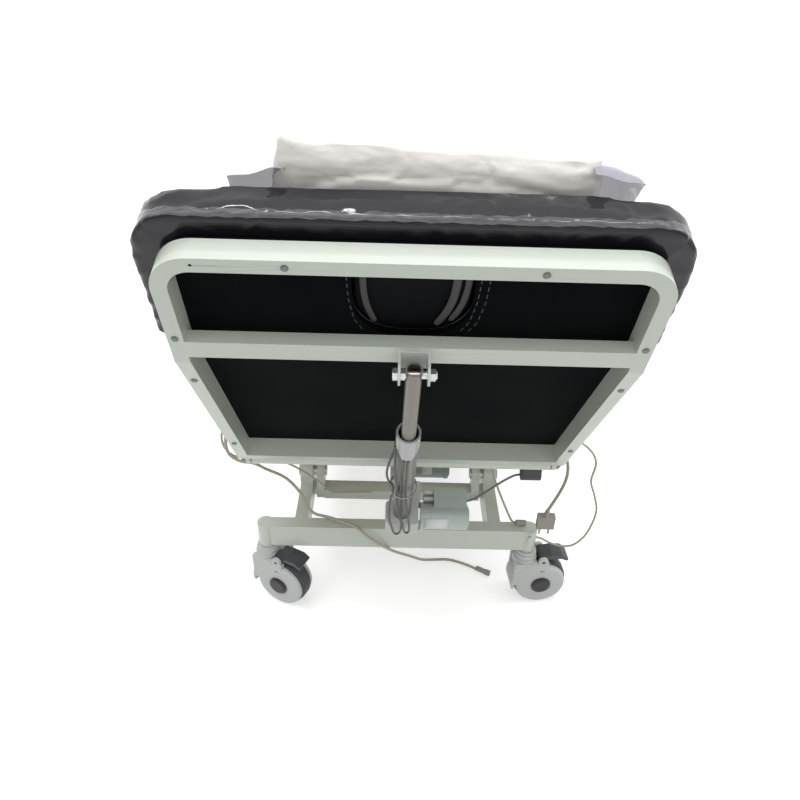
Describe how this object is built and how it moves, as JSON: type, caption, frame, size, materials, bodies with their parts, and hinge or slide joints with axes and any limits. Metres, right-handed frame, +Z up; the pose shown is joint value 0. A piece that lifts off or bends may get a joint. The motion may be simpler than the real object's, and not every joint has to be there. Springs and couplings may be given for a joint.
{
  "type": "examination table",
  "caption": "Wheeled examination table on a parallel-arm lift, with a padded seat section, a raised bent backrest, a pillow and electric drives.",
  "frame": {"origin": "on the floor, below the middle of the table's length and width at rest", "axes": "+Z up; +Y from the head end to the foot end; +X to the right, seen from the head end"},
  "size_m": [0.806, 1.552, 1.1014],
  "materials": {
    "base_frame": "satin off-white paint",
    "castor_stems": "zinc",
    "lower_pivot_pins": "zinc",
    "upper_pivot_pins": "zinc",
    "front_arms": "satin off-white paint",
    "rear_arms": "satin off-white paint",
    "seat_frame": "satin off-white paint",
    "hinge_bolts": "blackened",
    "seat_board": "raw plywood",
    "seat_cushion": "charcoal vinyl",
    "backrest_frame": "satin off-white paint",
    "frame_screws": "zinc",
    "rod_bracket": "satin paint",
    "bracket_bolt": "zinc",
    "dust_cover": "black woven",
    "back_board": "raw plywood",
    "back_cushion": "charcoal vinyl",
    "face_plug": "charcoal vinyl",
    "pillow": "cream vinyl in clear film",
    "back_rod": "worn steel",
    "back_tube": "worn steel",
    "tube_collar": "translucent grey",
    "back_gearbox": "light grey",
    "back_motor": "blue grey",
    "motor_clips": "white",
    "back_drive_pin": "zinc",
    "lift_rod": "ground steel",
    "lift_tube": "worn steel",
    "lift_gearbox": "light grey",
    "lift_motor": "grey green",
    "lift_pins": "zinc",
    "control_box": "dark grey",
    "mains_lead": "grey beige",
    "mains_plug": "grey",
    "control_lead": "beige",
    "lead_connector": "grey",
    "lift_lead": "beige",
    "earth_lead": "grey beige",
    "drive_leads": "grey",
    "junction_lead": "dark grey",
    "castor_fl_housing": "pale grey",
    "castor_fl_axle": "black",
    "castor_fl_rim": "grey",
    "castor_fl_tyre": "dark grey",
    "castor_fl_pedal": "dark grey",
    "castor_fr_housing": "pale grey",
    "castor_fr_axle": "black",
    "castor_fr_rim": "grey",
    "castor_fr_tyre": "dark grey",
    "castor_fr_pedal": "dark grey",
    "castor_rl_housing": "pale grey",
    "castor_rl_axle": "black",
    "castor_rl_rim": "grey",
    "castor_rl_tyre": "dark grey",
    "castor_rl_pedal": "dark grey",
    "castor_rr_housing": "pale grey",
    "castor_rr_axle": "black",
    "castor_rr_rim": "grey",
    "castor_rr_tyre": "dark grey",
    "castor_rr_pedal": "dark grey"
  },
  "bodies": {
    "base": {"base_frame": "base_frame", "castor_stems": "castor_stems", "lower_pivot_pins": "lower_pivot_pins", "lift_tube": "lift_tube", "lift_gearbox": "lift_gearbox", "lift_motor": "lift_motor", "lift_pins": "lift_pins", "control_lead": "control_lead", "lead_connector": "lead_connector", "lift_lead": "lift_lead"},
    "front_arms": {"front_arms": "front_arms"},
    "rear_arms": {"rear_arms": "rear_arms"},
    "lift_rod": {"lift_rod": "lift_rod"},
    "seat": {"seat_frame": "seat_frame", "upper_pivot_pins": "upper_pivot_pins", "hinge_bolts": "hinge_bolts", "seat_board": "seat_board", "seat_cushion": "seat_cushion", "control_box": "control_box", "mains_lead": "mains_lead", "mains_plug": "mains_plug", "back_drive_pin": "back_drive_pin", "junction_lead": "junction_lead", "earth_lead": "earth_lead"},
    "backrest": {"backrest_frame": "backrest_frame", "frame_screws": "frame_screws", "rod_bracket": "rod_bracket", "bracket_bolt": "bracket_bolt", "dust_cover": "dust_cover", "back_board": "back_board", "back_cushion": "back_cushion", "face_plug": "face_plug", "pillow": "pillow"},
    "back_rod": {"back_rod": "back_rod"},
    "back_drive": {"back_tube": "back_tube", "tube_collar": "tube_collar", "back_gearbox": "back_gearbox", "back_motor": "back_motor", "motor_clips": "motor_clips", "drive_leads": "drive_leads"},
    "castor_fl": {"castor_fl_housing": "castor_fl_housing", "castor_fl_axle": "castor_fl_axle"},
    "wheel_fl": {"castor_fl_rim": "castor_fl_rim", "castor_fl_tyre": "castor_fl_tyre"},
    "pedal_fl": {"castor_fl_pedal": "castor_fl_pedal"},
    "castor_fr": {"castor_fr_housing": "castor_fr_housing", "castor_fr_axle": "castor_fr_axle"},
    "wheel_fr": {"castor_fr_rim": "castor_fr_rim", "castor_fr_tyre": "castor_fr_tyre"},
    "pedal_fr": {"castor_fr_pedal": "castor_fr_pedal"},
    "castor_rl": {"castor_rl_housing": "castor_rl_housing", "castor_rl_axle": "castor_rl_axle"},
    "wheel_rl": {"castor_rl_rim": "castor_rl_rim", "castor_rl_tyre": "castor_rl_tyre"},
    "pedal_rl": {"castor_rl_pedal": "castor_rl_pedal"},
    "castor_rr": {"castor_rr_housing": "castor_rr_housing", "castor_rr_axle": "castor_rr_axle"},
    "wheel_rr": {"castor_rr_rim": "castor_rr_rim", "castor_rr_tyre": "castor_rr_tyre"},
    "pedal_rr": {"castor_rr_pedal": "castor_rr_pedal"}
  },
  "joints": [
    {"name": "table_lift", "type": "hinge", "parent": "base", "child": "front_arms", "pos_m": [0, -0.21698, 0.236], "axis": [1, 0, 0], "range_deg": [0, 37]},
    {"name": "rear_arm_turn", "type": "hinge", "parent": "base", "child": "rear_arms", "pos_m": [0, 0.14302, 0.236], "axis": [1, 0, 0], "range_deg": [0, 37.1]},
    {"name": "seat_level", "type": "hinge", "parent": "front_arms", "child": "seat", "pos_m": [0, 0.26168, 0.43918], "axis": [1, 0, 0], "range_deg": [-37.1, 0]},
    {"name": "lift_rod_turn", "type": "hinge", "parent": "rear_arms", "child": "lift_rod", "pos_m": [0.012, 0.11817, 0.15471], "axis": [1, 0, 0], "range_deg": [-37.1, 0]},
    {"name": "backrest_tilt", "type": "hinge", "parent": "seat", "child": "backrest", "pos_m": [0, -0.46398, 0.47118], "axis": [1, 0, 0], "range_deg": [0, 55.5]},
    {"name": "back_drive_turn", "type": "hinge", "parent": "seat", "child": "back_drive", "pos_m": [0.004, -0.43876, 0.27382], "axis": [1, 0, 0], "range_deg": [0, 42]},
    {"name": "back_rod_turn", "type": "hinge", "parent": "backrest", "child": "back_rod", "pos_m": [0.004, -0.74864, 0.83379], "axis": [1, 0, 0], "range_deg": [-13.7, 0]},
    {"name": "castor_fl_swivel", "type": "hinge", "parent": "base", "child": "castor_fl", "pos_m": [-0.288, -0.36998, 0.14], "axis": [0, 0, 1], "continuous": true},
    {"name": "wheel_fl_roll", "type": "hinge", "parent": "castor_fl", "child": "wheel_fl", "pos_m": [-0.25205, -0.38752, 0.06], "axis": [0.4384, 0.8988, 0], "continuous": true},
    {"name": "pedal_fl_press", "type": "hinge", "parent": "castor_fl", "child": "pedal_fl", "pos_m": [-0.25385, -0.38664, 0.13], "axis": [0.4384, 0.8988, 0], "range_deg": [0, 12]},
    {"name": "castor_fr_swivel", "type": "hinge", "parent": "base", "child": "castor_fr", "pos_m": [0.288, -0.36998, 0.14], "axis": [0, 0, 1], "continuous": true},
    {"name": "wheel_fr_roll", "type": "hinge", "parent": "castor_fr", "child": "wheel_fr", "pos_m": [0.3279, -0.36719, 0.06], "axis": [-0.0698, 0.9976, 0], "continuous": true},
    {"name": "pedal_fr_press", "type": "hinge", "parent": "castor_fr", "child": "pedal_fr", "pos_m": [0.32591, -0.36733, 0.13], "axis": [-0.0698, 0.9976, 0], "range_deg": [0, 12]},
    {"name": "castor_rl_swivel", "type": "hinge", "parent": "base", "child": "castor_rl", "pos_m": [-0.288, 0.58002, 0.14], "axis": [0, 0, 1], "continuous": true},
    {"name": "wheel_rl_roll", "type": "hinge", "parent": "castor_rl", "child": "wheel_rl", "pos_m": [-0.3279, 0.57723, 0.06], "axis": [0.0698, -0.9976, 0], "continuous": true},
    {"name": "pedal_rl_press", "type": "hinge", "parent": "castor_rl", "child": "pedal_rl", "pos_m": [-0.32591, 0.57737, 0.13], "axis": [0.0698, -0.9976, 0], "range_deg": [0, 12]},
    {"name": "castor_rr_swivel", "type": "hinge", "parent": "base", "child": "castor_rr", "pos_m": [0.288, 0.58002, 0.14], "axis": [0, 0, 1], "continuous": true},
    {"name": "wheel_rr_roll", "type": "hinge", "parent": "castor_rr", "child": "wheel_rr", "pos_m": [0.25205, 0.59755, 0.06], "axis": [-0.4384, -0.8988, 0], "continuous": true},
    {"name": "pedal_rr_press", "type": "hinge", "parent": "castor_rr", "child": "pedal_rr", "pos_m": [0.25385, 0.59668, 0.13], "axis": [-0.4384, -0.8988, 0], "range_deg": [0, 12]}
  ],
  "couplings": [
    {"joint": "rear_arm_turn", "follows": "table_lift", "ratio": 1},
    {"joint": "seat_level", "follows": "table_lift", "ratio": -1},
    {"joint": "lift_rod_turn", "follows": "table_lift", "ratio": -1},
    {"joint": "back_drive_turn", "follows": "backrest_tilt", "ratio": 0.7548},
    {"joint": "back_rod_turn", "follows": "backrest_tilt", "ratio": -0.2452}
  ]
}
